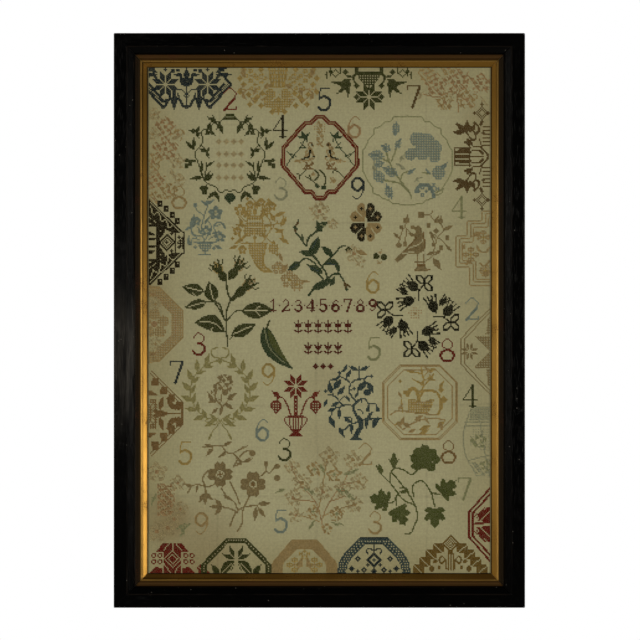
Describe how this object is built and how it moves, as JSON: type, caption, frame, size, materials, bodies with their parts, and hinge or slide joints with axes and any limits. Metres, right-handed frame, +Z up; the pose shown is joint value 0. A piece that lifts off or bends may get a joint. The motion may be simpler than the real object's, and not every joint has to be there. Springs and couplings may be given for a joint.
{
  "type": "framed cross stitch sampler",
  "caption": "Upright cross stitch sampler on linen, stretched flat in a mitred ebonised wood frame with a gilt inner slip and a plain back.",
  "frame": {"origin": "centre of the flat back, in the plane that lies against the wall", "axes": "+Z up, the stitched face looks toward -Y, +X to the right as seen from the front"},
  "size_m": [0.395, 0.02, 0.552],
  "materials": {
    "ebonised_wood": "black stained and waxed, rubbed on the left",
    "gilt_wood": "old gilding, toned brown in the hollow",
    "linen_cloth": "even weave linen, aged, with cross stitch in muted cotton and silk shades",
    "back_board": "plain unfinished board"
  },
  "bodies": {
    "root": {"rail_top": "ebonised_wood", "rail_bottom": "ebonised_wood", "rail_left": "ebonised_wood", "rail_right": "ebonised_wood", "slip_top": "gilt_wood", "slip_bottom": "gilt_wood", "slip_left": "gilt_wood", "slip_right": "gilt_wood", "linen": "linen_cloth", "backboard": "back_board"}
  },
  "joints": []
}
